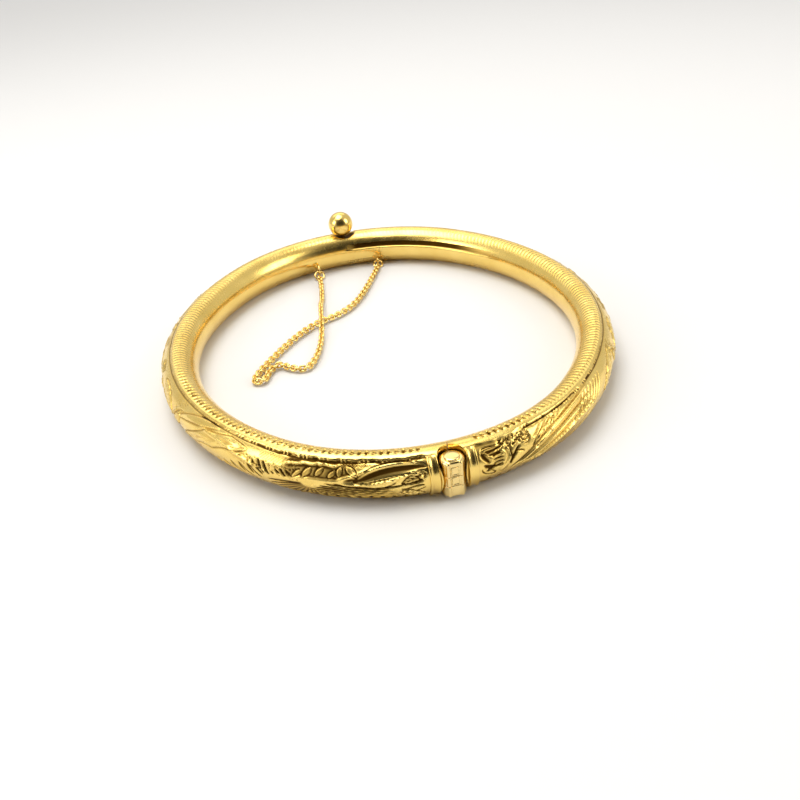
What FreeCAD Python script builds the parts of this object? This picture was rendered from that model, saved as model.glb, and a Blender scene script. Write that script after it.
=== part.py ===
"""Hinged oval bangle bracelet with a chased hollow tube, a spring-tongue clasp and a safety chain.

Millimetres, +Z up.  The bangle lies flat: the origin is the centre of the oval on the plane that it
rests on.  The hinge is at -Y, the clasp at +Y, the left half is at -X and the thumb ball stands up.

The tube follows an oval of four tangent arcs: two tight ones about (0, +-offset) at the hinge and the
clasp, and two wide ones about (-+offset, 0) at the sides.  The left half carries the hinge pin, the
mouth of the clasp and a lip of lining that slides inside the right half.  The right half carries the
tongue: a folded spring whose upper leaf ends in the thumb ball.
"""
import FreeCAD, Part

import math
import os

import Sketcher
from FreeCAD import Placement, Rotation, Vector

# driving dimensions: alias, value in mm (or degrees), what it is
DIMENSIONS = [
    ("oval_half_x", 27.5, "tube centreline, half width left to right"),
    ("oval_half_y", 31.5, "tube centreline, half length hinge to clasp"),
    ("tube_half_wide", 2.45, "tube section, half width in the plane of the oval"),
    ("tube_half_high", 2.75, "tube section, half height"),
    ("wall", 0.4, "sheet thickness of shell and lining"),
    ("lining_half_high", 1.36, "half height of the inner lining strip"),
    ("lining_depth", 0.85, "how far the lining's edges reach into the section"),
    ("joint_gap", 0.05, "half of the gap between the halves at the hinge"),
    ("shell_joint", 0.86, "x of the left shell's end face at the clasp"),
    ("clasp_gap", 0.04, "gap between the two end faces at the clasp"),
    ("lip_reach", 5.67, "x of the lining lip's end"),
    ("lip_slack", 0.05, "clearance above, below and past the lip"),
    ("collar_raise", 0.16, "how far a collar stands proud of the tube"),
    ("collar_width", 1.1, "width of a collar along the tube"),
    ("collar_inner", 1.1, "a collar's inner side, outward of the tube centreline"),
    ("left_collar_at", 1.55, "collar's near edge from the hinge line, left half"),
    ("right_collar_at", 1.62, "collar's near edge from the hinge line, right half"),
    ("axis_out", 1.5, "hinge axis, outward of the tube centreline"),
    ("barrel_radius", 1.33, "hinge barrel radius"),
    ("barrel_front", 1.2, "flat front of the barrel, from its axis"),
    ("barrel_pad", 0.8, "half width of the barrel's flat front"),
    ("barrel_half_high", 2.2, "half height of the whole barrel"),
    ("lower_knuckle_high", 1.35, "height of the lower knuckle"),
    ("middle_knuckle_high", 1.2, "height of the middle knuckle"),
    ("knuckle_gap", 0.04, "axial gap between knuckles"),
    ("lug_start", 0.6, "near end of a knuckle's lug, from the hinge line"),
    ("lug_end", 1.95, "far end of a knuckle's lug"),
    ("lug_outer", 0.1, "outer side of a lug, inward of the hinge axis"),
    ("lug_inner", 1.05, "inner side of a lug, inward of the hinge axis"),
    ("lug_half_high", 1.6, "lugs stay this near the tube's middle height"),
    ("lug_step", 0.1, "a lug is this much lower than its knuckle"),
    ("notch_radius", 1.55, "clearance notch round the barrel"),
    ("pin_radius", 0.5, "hinge pin radius"),
    ("pin_slack", 0.05, "running clearance of the pin in the middle knuckle"),
    ("head_radius", 0.86, "pin head disc radius"),
    ("head_high", 0.22, "pin head disc height"),
    ("tail_radius", 0.7, "riveted tail radius"),
    ("tail_high", 0.14, "riveted tail height"),
    ("block_long", 2.2, "length of the block that closes a half's hinge end"),
    ("plate_thick", 0.4, "thickness of the clasp end plates"),
    ("tongue_y", 31.3, "y of the tongue's middle"),
    ("tongue_half_wide", 1.0, "tongue half width"),
    ("fold_x", -5.2, "x of the tongue's fold"),
    ("fold_down", 0.45, "fold axis below the tube centreline"),
    ("fold_radius", 0.6, "outer radius of the fold"),
    ("fold_bore", 0.35, "inner radius of the fold"),
    ("root_radius", 0.3, "radius of the spring leaf's root"),
    ("leaf_thick", 0.34, "thickness of both tongue leaves"),
    ("leaf_slope", 12.76, "degrees, rise of the spring leaf from the fold"),
    ("leaf_long", 5.7, "length of the spring leaf from the fold axis"),
    ("mouth_low", 1.15, "bottom of the mouth below the tube centreline"),
    ("mouth_up", 1.0, "top of the mouth above the tube centreline"),
    ("mouth_inner", 1.12, "mouth's inner side from the tongue's middle"),
    ("mouth_outer", 1.36, "mouth's outer side from the tongue's middle"),
    ("stem_radius", 0.3, "thumb stem radius"),
    ("stem_x", 0.3, "x of the thumb stem and ball"),
    ("stem_foot", 0.62, "stem's foot above the tube centreline, in the spring leaf"),
    ("stem_set", 0.9, "how far the stem's top stays below the ball's centre"),
    ("stem_slot", 0.5, "half width of the stem's slot in the mouth plate"),
    ("ball_radius", 1.95, "thumb ball radius"),
    ("ball_up", 4.3, "ball centre above the tube centreline"),
    ("well_radius", 1.75, "well in the shells under the ball"),
    ("well_x", 0.75, "x of the well's centre"),
    ("shell_well", 1.3, "floor of the well in the shells, above the tube centreline"),
    ("plate_well", 1.65, "floor of the well in the end plates, above the tube centreline"),
    ("left_eye_radius", 0.75, "left chain eye, radius to the middle of the wire"),
    ("right_eye_radius", 0.53, "right chain eye, small enough to stay under the lip"),
    ("eye_wire", 0.16, "chain eye wire radius"),
    ("ring_radius", 0.71, "jump ring, radius to the middle of the wire"),
    ("ring_wire", 0.15, "jump ring wire radius"),
    ("left_ring_tilt", 42.0, "degrees, lean of the left jump ring from the floor"),
    ("right_ring_tilt", 25.0, "degrees, lean of the right jump ring from the floor"),
    ("chain_radius", 0.6, "safety chain, radius round its links"),
    ("beyond_tube", 40.0, "trimming boxes end this far out, past the tube"),
    ("between_ends", 20.0, "trimming boxes start here, between the hinge and the clasp"),
    ("over_top", 12.0, "trimming boxes end this high, past the ball"),
    ("past_joint", 9.0, "trimming boxes end this far past a joint, beyond the lip"),
]
DIM = {alias: value for alias, value, _ in DIMENSIONS}

# where each chain end is held: x, y of a jump ring's centre, and x, y, z of an eye's centre
RINGS = {"left": (-4.75, 27.35), "right": (5.15, 28.16)}
EYES = {"left": (-4.60, 28.25, 1.22), "right": (5.25, 28.95, 0.71)}

# the chain's route, chosen by hand: x, y, z of its middle line above the floor
LYING = 0.62
HUMP = 1.95
CHAIN_ROUTE = [
    (-4.80, 26.80, LYING), (-5.20, 22.40, LYING), (-5.95, 17.60, LYING), (-6.60, 13.90, HUMP),
    (-7.10, 10.20, HUMP), (-7.80, 6.50, LYING), (-8.90, 2.30, LYING), (-10.90, -1.70, LYING),
    (-13.10, -0.60, LYING), (-14.60, 1.40, LYING), (-16.00, 0.00, LYING), (-17.00, -2.60, LYING),
    (-18.60, -2.00, LYING), (-17.00, 0.70, LYING), (-15.20, 3.20, LYING), (-12.90, 6.20, LYING),
    (-10.30, 9.10, LYING), (-7.60, 11.20, LYING), (-4.60, 12.30, LYING), (-1.90, 14.30, LYING),
    (0.30, 17.50, LYING), (2.20, 21.20, LYING), (3.80, 24.60, LYING), (5.05, 27.28, LYING),
]
ARC_SHARE = 0.45

doc = FreeCAD.newDocument("bangle_bracelet")
sheet = doc.addObject("Spreadsheet::Sheet", "Dimensions")
for row, (alias, value, note) in enumerate(DIMENSIONS, start=1):
    sheet.set(f"A{row}", alias)
    sheet.set(f"B{row}", str(value))
    sheet.set(f"C{row}", note)
    sheet.setAlias(f"B{row}", alias)
doc.recompute()

# derived lengths, as numbers for first guesses and as expressions for the document
OFFSET = (DIM["oval_half_y"] - DIM["oval_half_x"]) * (2 + math.sqrt(2)) / 2
END_RADIUS = DIM["oval_half_y"] - OFFSET
SIDE_RADIUS = DIM["oval_half_x"] + OFFSET
OFFSET_CELL = "(Dimensions.oval_half_y - Dimensions.oval_half_x) * (2 + sqrt(2)) / 2"
END_CELL = f"(Dimensions.oval_half_y - {OFFSET_CELL})"


def cell(text):
    """Write an expression in the sheet's aliases: every known alias gets the sheet's name."""
    words = text.replace("(", "( ").replace(")", " )").split()
    return " ".join(f"Dimensions.{word}" if word in DIM else word for word in words)


def bind(thing, **sizes):
    """Bind properties to expressions; x, y and z mean the placement."""
    paths = {"x": "Placement.Base.x", "y": "Placement.Base.y", "z": "Placement.Base.z"}
    for name, text in sizes.items():
        thing.setExpression(paths.get(name, name), cell(text))
    return thing


# ---------------------------------------------------------------- sketches and sweeps

def origin_plane(body, role):
    return next(plane for plane in body.Origin.OriginFeatures if plane.Role == role)


def new_sketch(body, role, name):
    sketch = body.newObject("Sketcher::SketchObject", name)
    sketch.AttachmentSupport = (origin_plane(body, role), "")
    sketch.MapMode = "FlatFace"
    return sketch


def constrain(sketch, kind, *where, value=None, name=None, text=None):
    """Add one constraint; with text its value is bound to the sheet."""
    numbers = where if value is None else where + (value,)
    index = sketch.addConstraint(Sketcher.Constraint(kind, *numbers))
    if text:
        sketch.renameConstraint(index, name)
        sketch.setExpression(f"Constraints.{name}", text)
    return index


def path_sketch(body):
    """The half oval on the right, hinge to clasp, running past the clasp line by the lip."""
    sketch = new_sketch(body, "XY_Plane", "path")
    sketch.setExpression("AttachmentOffset.Base.z", cell("tube_half_high"))
    reach = DIM["lip_reach"]
    last = math.pi / 2 + math.asin(reach / END_RADIUS)
    quarter = math.pi / 4
    for centre, radius, start, end in (
        (Vector(0, -OFFSET, 0), END_RADIUS, -2 * quarter, -quarter),
        (Vector(-OFFSET, 0, 0), SIDE_RADIUS, -quarter, quarter),
        (Vector(0, OFFSET, 0), END_RADIUS, quarter, last),
    ):
        circle = Part.Circle(centre, Vector(0, 0, 1), radius)
        sketch.addGeometry(Part.ArcOfCircle(circle, start, end), False)
    constrain(sketch, "PointOnObject", 0, 3, -2)
    constrain(sketch, "PointOnObject", 1, 3, -1)
    constrain(sketch, "PointOnObject", 2, 3, -2)
    constrain(sketch, "PointOnObject", 0, 1, -2)
    constrain(sketch, "Tangent", 0, 2, 1, 1)
    constrain(sketch, "Tangent", 1, 2, 2, 1)
    constrain(sketch, "Radius", 0, value=END_RADIUS, name="end_radius", text=END_CELL)
    constrain(sketch, "DistanceY", 0, 3, -1, 1, value=OFFSET, name="low", text=OFFSET_CELL)
    constrain(sketch, "DistanceY", -1, 1, 2, 3, value=OFFSET, name="high", text=OFFSET_CELL)
    constrain(sketch, "DistanceX", 1, 3, -1, 1, value=OFFSET, name="side", text=OFFSET_CELL)
    constrain(sketch, "DistanceX", 2, 2, -1, 1, value=reach, name="reach",
              text=cell("lip_reach"))
    return sketch


def ellipse(sketch, label, shrink):
    """An upright ellipse on the tube's centreline at the hinge, `shrink` cells inside the tube."""
    inside = {"": 0.0, "wall": DIM["wall"], "collar": -DIM["collar_raise"]}[shrink]
    less = {"": "", "wall": " - wall", "collar": " + collar_raise"}[shrink]
    centre = Vector(-DIM["oval_half_y"], DIM["tube_half_high"], 0)
    high = DIM["tube_half_high"] - inside
    wide = DIM["tube_half_wide"] - inside
    curve = Part.Ellipse(centre + Vector(0, high, 0), centre + Vector(wide, 0, 0), centre)
    index = sketch.addGeometry(curve, False)
    sketch.exposeInternalGeometry(index)
    constrain(sketch, "Vertical", index + 1)
    constrain(sketch, "Distance", index + 1, value=2 * high, name=f"{label}_high",
              text=cell(f"2 * (tube_half_high{less})"))
    constrain(sketch, "Distance", index + 2, value=2 * wide, name=f"{label}_wide",
              text=cell(f"2 * (tube_half_wide{less})"))
    constrain(sketch, "DistanceX", index, 3, -1, 1, value=DIM["oval_half_y"],
              name=f"{label}_out", text=cell("oval_half_y"))
    constrain(sketch, "DistanceY", -1, 1, index, 3, value=DIM["tube_half_high"],
              name=f"{label}_up", text=cell("tube_half_high"))


def inner_oval():
    """The filled oval inside the tube, as tall as the lining: it parts lining from shell."""
    inset = DIM["tube_half_wide"] - DIM["lining_depth"]
    end, side = END_RADIUS - inset, SIDE_RADIUS - inset
    body = doc.addObject("PartDesign::Body", "inner_oval")
    sketch = new_sketch(body, "XY_Plane", "outline")
    sketch.setExpression("AttachmentOffset.Base.z", cell("tube_half_high"))
    eighth = math.pi / 4
    for index, (centre, radius) in enumerate((
            (Vector(0, -OFFSET, 0), end), (Vector(-OFFSET, 0, 0), side),
            (Vector(0, OFFSET, 0), end), (Vector(OFFSET, 0, 0), side))):
        start = (2 * index - 3) * eighth
        circle = Part.Circle(centre, Vector(0, 0, 1), radius)
        sketch.addGeometry(Part.ArcOfCircle(circle, start, start + 2 * eighth), False)
    for index, axis in enumerate((-2, -1, -2)):
        constrain(sketch, "PointOnObject", index, 3, axis)
    for index in range(3):
        constrain(sketch, "Tangent", index, 2, index + 1, 1)
    constrain(sketch, "Coincident", 3, 2, 0, 1)
    constrain(sketch, "DistanceY", 0, 3, -1, 1, value=OFFSET, name="low", text=OFFSET_CELL)
    constrain(sketch, "DistanceX", 1, 3, -1, 1, value=OFFSET, name="side", text=OFFSET_CELL)
    constrain(sketch, "DistanceX", -1, 1, 3, 3, value=OFFSET, name="far_side", text=OFFSET_CELL)
    constrain(sketch, "DistanceY", -1, 1, 2, 3, value=OFFSET, name="high", text=OFFSET_CELL)
    constrain(sketch, "Radius", 0, value=end, name="end_radius",
              text=f"{END_CELL} - " + cell("tube_half_wide + lining_depth"))
    pad = body.newObject("PartDesign::Pad", "pad")
    pad.Profile = sketch
    pad.Midplane = True
    pad.setExpression("Length", cell("2 * lining_half_high"))
    doc.recompute()
    return body


def swept(name, draw):
    """A body swept along the right half oval; `draw` fills its section sketch."""
    body = doc.addObject("PartDesign::Body", name)
    path = path_sketch(body)
    section = new_sketch(body, "YZ_Plane", "section")
    draw(section)
    doc.recompute()
    pipe = body.newObject("PartDesign::AdditivePipe", "sweep")
    pipe.Profile = section
    pipe.Spine = (path, ["Edge1", "Edge2", "Edge3"])
    doc.recompute()
    return body


def tube_skin(section):
    ellipse(section, "skin", "")


def tube_core(section):
    ellipse(section, "core", "wall")


def collar_crest(section):
    ellipse(section, "crest", "collar")


# ---------------------------------------------------------------- primitives and booleans

def box(low, high):
    """A box between two corners, each given as three expressions."""
    made = doc.addObject("Part::Box", "block")
    bind(made, x=low[0], y=low[1], z=low[2])
    for side, start, end in zip(("Length", "Width", "Height"), low, high):
        made.setExpression(side, cell(f"( {end} ) - ( {start} )"))
    return made


def upright(radius, x, y, low, high):
    """A vertical cylinder."""
    made = doc.addObject("Part::Cylinder", "round")
    bind(made, Radius=radius, x=x, y=y, z=low)
    made.setExpression("Height", cell(f"( {high} ) - ( {low} )"))
    return made


def crosswise(radius, x, z, y_low, y_high):
    """A cylinder whose axis lies along +Y."""
    made = doc.addObject("Part::Cylinder", "roller")
    made.Placement = Placement(Vector(), Rotation(Vector(1, 0, 0), -90))
    bind(made, Radius=radius, x=x, y=y_low, z=z)
    made.setExpression("Height", cell(f"( {y_high} ) - ( {y_low} )"))
    return made


def mirrored(source):
    made = doc.addObject("Part::Mirroring", source.Name + "_mirrored")
    made.Source = source
    made.Base = Vector()
    made.Normal = Vector(1, 0, 0)
    return made


def common(label, *shapes):
    made = doc.addObject("Part::MultiCommon", label)
    made.Shapes = list(shapes)
    return made


def fused(label, *shapes):
    made = doc.addObject("Part::MultiFuse", label)
    made.Shapes = list(shapes)
    return made


def cut(label, base, *tools):
    made = doc.addObject("Part::Cut", label)
    made.Base = base
    made.Tool = tools[0] if len(tools) == 1 else fused(label + "_tools", *tools)
    return made


NODES = []


def node(label, made):
    """Name a finished sub-part."""
    made.Label = label
    NODES.append(made)
    return made


# places used by several pieces, as expressions
MIDDLE = "tube_half_high"
AXIS_Y = "- oval_half_y - axis_out"
FACE = "shell_joint + clasp_gap"


def half_blanks():
    """Untrimmed solids of the left half, and the same mirrored to the right."""
    draws = {"skin": tube_skin, "core": tube_core, "crest": collar_crest}
    left = {name: mirrored(swept(name, draw)) for name, draw in draws.items()}
    wrist = inner_oval()
    left["shell"] = cut("shell_blank", left["skin"], left["core"], wrist)
    left["lining"] = cut("lining_blank", common("strip", left["skin"], wrist), left["core"])
    return left, {name: mirrored(blank) for name, blank in left.items()}


def barrel_notch():
    return upright("notch_radius", "0", AXIS_Y, "0 - 1", f"2 * {MIDDLE} + 1")


def ball_well(floor):
    """Round well under the thumb ball, so that it can be pressed down."""
    return upright("well_radius", "well_x", "oval_half_y", f"{MIDDLE} + {floor}",
                   f"2 * {MIDDLE} + 2")


def past_hinge(low_x, high_x):
    """A tall box that trims by x at the hinge end."""
    return box((low_x, "0 - beyond_tube", "0 - 1"), (high_x, "0 - between_ends", "over_top"))


def past_clasp(low_x, high_x):
    """A tall box that trims by x at the clasp end."""
    return box((low_x, "between_ends", "0 - 1"), (high_x, "beyond_tube", "over_top"))


def make_shells(left, right):
    """Chased outer shells, C-shaped in section, open towards the wrist."""
    node("left_shell", cut(
        "left_shell", left["shell"], barrel_notch(), ball_well("shell_well"),
        past_hinge("0 - joint_gap", "past_joint"), past_clasp("shell_joint", "past_joint")))
    node("right_shell", cut(
        "right_shell", right["shell"], barrel_notch(), ball_well("shell_well"),
        past_hinge("0 - past_joint", "joint_gap"), past_clasp("0 - past_joint", FACE)))


def make_linings(left, right):
    """Smooth inner strips; the left one runs on past the shell as the lip of the clasp."""
    lip_top = box(("shell_joint", "between_ends", f"{MIDDLE} + lining_half_high - lip_slack"),
                  ("past_joint", "beyond_tube", "over_top"))
    lip_bottom = box(("shell_joint", "between_ends", "0 - 1"),
                     ("past_joint", "beyond_tube", f"{MIDDLE} - lining_half_high + lip_slack"))
    node("left_lining", cut(
        "left_lining", left["lining"], barrel_notch(), lip_top, lip_bottom,
        past_hinge("0 - joint_gap", "past_joint")))
    node("right_lining", cut(
        "right_lining", right["lining"], barrel_notch(),
        past_hinge("0 - past_joint", "joint_gap"),
        past_clasp("0 - past_joint", "lip_reach + lip_slack")))


def make_collars(left, right):
    """Plain raised collars beside the hinge, over the outer shell only."""
    inner_side = "0 - oval_half_y - collar_inner"
    slab = box(("0 - left_collar_at - collar_width", "0 - beyond_tube", "0"),
               ("0 - left_collar_at", inner_side, "over_top"))
    node("left_collar", cut("left_collar", common("left_collar_band", left["crest"], slab),
                            left["skin"], barrel_notch()))
    slab = box(("right_collar_at", "0 - beyond_tube", "0"),
               ("right_collar_at + collar_width", inner_side, "over_top"))
    node("right_collar", cut("right_collar", common("right_collar_band", right["crest"], slab),
                             right["skin"], barrel_notch()))


def knuckle(label, low, high, lug_low, lug_high, side, bore):
    """One knuckle of the barrel with a flat front and a lug into its half's end block."""
    barrel = upright("barrel_radius", "0", AXIS_Y, low, high)
    pad = box(("0 - barrel_pad", f"{AXIS_Y} - barrel_front", low), ("barrel_pad", AXIS_Y, high))
    ends = ("0 - lug_end", "0 - lug_start") if side < 0 else ("lug_start", "lug_end")
    lug = box((ends[0], f"{AXIS_Y} + lug_outer", lug_low), (ends[1], f"{AXIS_Y} + lug_inner", lug_high))
    front = box(("0 - 2 * barrel_radius", f"{AXIS_Y} - 2 * barrel_radius", "0 - 1"),
                ("2 * barrel_radius", f"{AXIS_Y} - barrel_front", "over_top"))
    hole = upright(bore, "0", AXIS_Y, "0 - 1", "over_top")
    return node(label, cut(label, fused(label + "_solid", barrel, pad, lug), front, hole))


def make_hinge(left, right):
    """Three knuckles, the pin with its head, and the blocks that close the two ends."""
    bottom = f"{MIDDLE} - barrel_half_high"
    first = f"{bottom} + lower_knuckle_high"
    second = f"{first} + knuckle_gap"
    third = f"{second} + middle_knuckle_high"
    fourth = f"{third} + knuckle_gap"
    top = f"{MIDDLE} + barrel_half_high"
    lower = knuckle("lower_knuckle", bottom, first, f"{MIDDLE} - lug_half_high",
                    f"{first} - lug_step", -1, "pin_radius")
    middle = knuckle("middle_knuckle", second, third, f"{second} + lug_step",
                     f"{third} - lug_step", 1, "pin_radius + pin_slack")
    upper = knuckle("upper_knuckle", fourth, top, f"{fourth} + lug_step",
                    f"{MIDDLE} + lug_half_high", -1, "pin_radius")
    shaft = upright("pin_radius", "0", AXIS_Y, bottom, top)
    head = upright("head_radius", "0", AXIS_Y, top, f"{top} + head_high")
    tail = upright("tail_radius", "0", AXIS_Y, f"{bottom} - tail_high", bottom)
    node("hinge_pin", fused("hinge_pin", shaft, head, tail))
    slab = past_hinge("0 - block_long", "0 - joint_gap")
    node("left_hinge_block", cut("left_hinge_block", common("left_plug", left["core"], slab),
                                 barrel_notch(), lower, upper))
    slab = past_hinge("joint_gap", "block_long")
    node("right_hinge_block", cut("right_hinge_block", common("right_plug", right["core"], slab),
                                  barrel_notch(), middle))


def make_clasp_plates(core):
    """End plates at the clasp: the left one has the mouth and the stem's slot."""
    slab = past_clasp("shell_joint - plate_thick", "shell_joint")
    mouth = box(("shell_joint - 3", "tongue_y - mouth_inner", f"{MIDDLE} - mouth_low"),
                ("shell_joint + 1", "tongue_y + mouth_outer", f"{MIDDLE} + mouth_up"))
    slot = box(("shell_joint - 3", "oval_half_y - stem_slot", MIDDLE),
               ("shell_joint + 1", "oval_half_y + stem_slot", f"{MIDDLE} + 4"))
    # the left end plate stands past x = 0, so it is cut from the right half's core there
    node("mouth_plate", cut("mouth_plate", common("mouth_slab", core, slab),
                            mouth, slot, ball_well("plate_well")))
    slab = past_clasp(FACE, f"{FACE} + plate_thick")
    lip_room = box(("0", "between_ends", f"{MIDDLE} - lining_half_high"),
                   ("3", "oval_half_y - tube_half_wide + lining_depth",
                    f"{MIDDLE} + lining_half_high"))
    node("tongue_plate", cut("tongue_plate", common("tongue_slab", core, slab),
                             ball_well("plate_well"), lip_room))


def make_tongue():
    """Folded spring tongue: a base leaf on the right half and a spring leaf with the ball."""
    side_low, side_high = "tongue_y - tongue_half_wide", "tongue_y + tongue_half_wide"
    under = f"{MIDDLE} - fold_down - fold_radius"
    leaf = box(("fold_x", side_low, under), (FACE, side_high, f"{under} + leaf_thick"))
    fold = crosswise("fold_radius", "fold_x", f"{MIDDLE} - fold_down", side_low, side_high)
    hollow = crosswise("fold_bore", "fold_x", f"{MIDDLE} - fold_down",
                       f"{side_low} - 1", f"{side_high} + 1")
    opening = box(("fold_x", f"{side_low} - 1", f"{under} + leaf_thick"),
                  ("0", f"{side_high} + 1", f"{MIDDLE} + 2"))
    node("tongue_base", cut("tongue_base", fused("tongue_strip", leaf, fold), hollow, opening))

    root = crosswise("root_radius", "fold_x", f"{MIDDLE} - fold_down", side_low, side_high)
    spring = doc.addObject("Part::Box", "block")
    bind(spring, Length="leaf_long", Width="2 * tongue_half_wide", Height="leaf_thick")
    slope = math.radians(DIM["leaf_slope"])
    half = DIM["leaf_thick"] / 2
    spring.Placement = Placement(
        Vector(DIM["fold_x"] + half * math.sin(slope),
               DIM["tongue_y"] - DIM["tongue_half_wide"],
               DIM["tube_half_high"] - DIM["fold_down"] - half * math.cos(slope)),
        Rotation(Vector(0, 1, 0), -DIM["leaf_slope"]))
    shoulder = past_clasp("shell_joint - plate_thick - lip_slack", "past_joint")
    node("tongue_spring", cut("tongue_spring", fused("spring_strip", root, spring), shoulder))

    stem_top = f"{MIDDLE} + ball_up - stem_set"
    node("thumb_stem", upright("stem_radius", "stem_x", "oval_half_y", f"{MIDDLE} + stem_foot",
                               stem_top))
    ball = doc.addObject("Part::Sphere", "whole_ball")
    bind(ball, Radius="ball_radius", x="stem_x", y="oval_half_y", z=f"{MIDDLE} + ball_up")
    socket = upright("stem_radius", "stem_x", "oval_half_y", MIDDLE, stem_top)
    node("thumb_ball", cut("thumb_ball", ball, socket))


def wire_ring(radius, wire, centre, turn):
    """A closed ring of round wire."""
    ring = doc.addObject("Part::Torus", "ring")
    bind(ring, Radius1=radius, Radius2=wire)
    ring.Placement = Placement(centre, turn)
    return ring


def make_chain_ends():
    """Eyes soldered to the lower inner flank, and the jump rings that hang in them."""
    for side in ("left", "right"):
        across = Rotation(Vector(0, 1, 0), 90)
        node(f"{side}_chain_eye", wire_ring(f"{side}_eye_radius", "eye_wire",
                                            Vector(*EYES[side]), across))
        tilt = DIM[f"{side}_ring_tilt"]
        height = DIM["ring_radius"] * math.sin(math.radians(tilt)) + DIM["ring_wire"] + 0.02
        node(f"{side}_jump_ring", wire_ring("ring_radius", "ring_wire",
                                            Vector(*RINGS[side], height),
                                            Rotation(Vector(1, 0, 0), tilt)))


def chain_path(points):
    """Straight runs joined by tangent arcs, each as large as its two runs allow."""
    points = [Vector(*point) for point in points]
    edges, radii, here = [], [], points[0]
    for before, corner, after in zip(points, points[1:], points[2:]):
        toward, away = before - corner, after - corner
        turn = math.pi - toward.getAngle(away)
        reach = ARC_SHARE * min(toward.Length, away.Length)
        radii.append(reach / math.tan(turn / 2))
        start = corner + toward.normalize() * reach
        end = corner + away.normalize() * reach
        bisector = (toward + away).normalize()
        depth = radii[-1] * (1 / math.cos(turn / 2) - 1)
        edges.append(Part.LineSegment(here, start).toShape())
        edges.append(Part.Arc(start, corner + bisector * depth, end).toShape())
        here = end
    edges.append(Part.LineSegment(here, points[-1]).toShape())
    return Part.Wire(edges), radii


def make_chain():
    """The safety chain's envelope, lying on the floor from one jump ring to the other."""
    path, radii = chain_path(CHAIN_ROUTE)
    start = Vector(*CHAIN_ROUTE[0])
    heading = Vector(*CHAIN_ROUTE[1]) - start
    section = Part.Wire([Part.Circle(start, heading, DIM["chain_radius"]).toShape()])
    tube = path.makePipeShell([section], True, False)
    chain = doc.addObject("Part::Feature", "safety_chain")
    chain.Shape = tube
    node("safety_chain", chain)
    expected = math.pi * DIM["chain_radius"] ** 2 * path.Length
    print("chain length", round(path.Length, 2), "smallest radii",
          [round(radius, 1) for radius in sorted(radii)[:6]])
    print("chain volume", round(tube.Volume, 2), "expected", round(expected, 2))


left_blanks, right_blanks = half_blanks()
make_shells(left_blanks, right_blanks)
make_linings(left_blanks, right_blanks)
make_collars(left_blanks, right_blanks)
make_hinge(left_blanks, right_blanks)
make_clasp_plates(right_blanks["core"])
make_tongue()
make_chain_ends()
make_chain()
doc.recompute()

for thing in doc.Objects:
    if "Invalid" in thing.State or "Error" in thing.State:
        raise RuntimeError(f"{thing.Label} failed: {thing.State}")
os.makedirs("parts", exist_ok=True)
for piece in NODES:
    if piece.Shape.isNull() or not piece.Shape.isValid():
        raise RuntimeError(f"{piece.Label} has no valid shape")
    piece.Shape.exportStep(f"parts/{piece.Label}.step")
    print(f"{piece.Label:20s} solids {len(piece.Shape.Solids)} volume {piece.Shape.Volume:9.3f}")
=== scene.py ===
"""Looks for the hinged bangle: chased gold shells, smooth linings, hinge, clasp and safety chain.

The object's lengths are written in millimetres and turned into metres by MM; the floor and the lights
are in metres. The oval, the tube section and the hinge are those of the CAD model, and each piece but
the chain rides on its CAD body.
"""
import math

import bmesh
import bpy
import numpy as np
from mathutils import Matrix, Vector


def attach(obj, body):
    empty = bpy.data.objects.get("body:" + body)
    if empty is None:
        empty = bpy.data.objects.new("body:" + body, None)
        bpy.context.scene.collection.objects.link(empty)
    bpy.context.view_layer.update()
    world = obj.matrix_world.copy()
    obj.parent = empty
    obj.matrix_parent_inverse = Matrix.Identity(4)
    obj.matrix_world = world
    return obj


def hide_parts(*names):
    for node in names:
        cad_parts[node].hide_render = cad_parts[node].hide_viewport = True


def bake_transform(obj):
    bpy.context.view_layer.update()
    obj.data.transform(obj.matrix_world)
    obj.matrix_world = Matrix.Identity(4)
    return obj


MM = 0.001

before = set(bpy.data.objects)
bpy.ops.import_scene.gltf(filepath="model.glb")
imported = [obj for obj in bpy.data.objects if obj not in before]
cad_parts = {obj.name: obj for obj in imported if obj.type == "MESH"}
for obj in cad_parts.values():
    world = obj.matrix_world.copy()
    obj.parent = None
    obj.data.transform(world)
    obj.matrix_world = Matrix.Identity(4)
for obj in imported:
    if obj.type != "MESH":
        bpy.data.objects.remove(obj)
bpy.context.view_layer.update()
scene = bpy.context.scene

# ---------------------------------------------------------------- the oval and the tube

# the oval's centreline, half the tube's width and height, and the sheet's thickness
HALF_X, HALF_Y = 27.5, 31.5
WIDE, HIGH = 2.45, 2.75
WALL = 0.4
# the oval is four arcs: small ones at the hinge and the clasp, large ones at the sides
OFFSET = (HALF_Y - HALF_X) * (2 + math.sqrt(2)) / 2
END_R = HALF_Y - OFFSET
SIDE_R = HALF_X + OFFSET
END_ARC = END_R * math.pi / 4
SIDE_ARC = SIDE_R * math.pi / 2
HALF_LENGTH = 2 * END_ARC + SIDE_ARC
# the hinge's axis, the shells' notch round its barrel, and half the gap between the halves there
AXIS_Y = -(HALF_Y + 1.5)
NOTCH_R = 1.55
HINGE_GAP = 0.09
# the thumb ball, its stem's slot, and the latch's pivot and travel in degrees
STEM_HOLE, STEM_X = 0.60, 0.3
BALL_REST = np.array([STEM_X, HALF_Y, 7.05])
BALL_RADIUS, BALL_SLACK = 1.95, 0.10
PRESS_X, PRESS_Z, PRESS_ANGLE = -5.2, 2.3, 5.0
# the clasp: where the shells meet, and how far the left lining's lip runs on
LIP_END, LIP_SLACK = 5.67, 0.05
SHELL_JOINT, CLASP_GAP = 0.86, 0.04
# section angles of the seam between shell and lining, and of the narrower lip's edge
SEAM = 180 - math.degrees(math.asin(1.36 / HIGH))
LIP_SEAM = 180 - math.degrees(math.asin(1.31 / HIGH))


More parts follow.
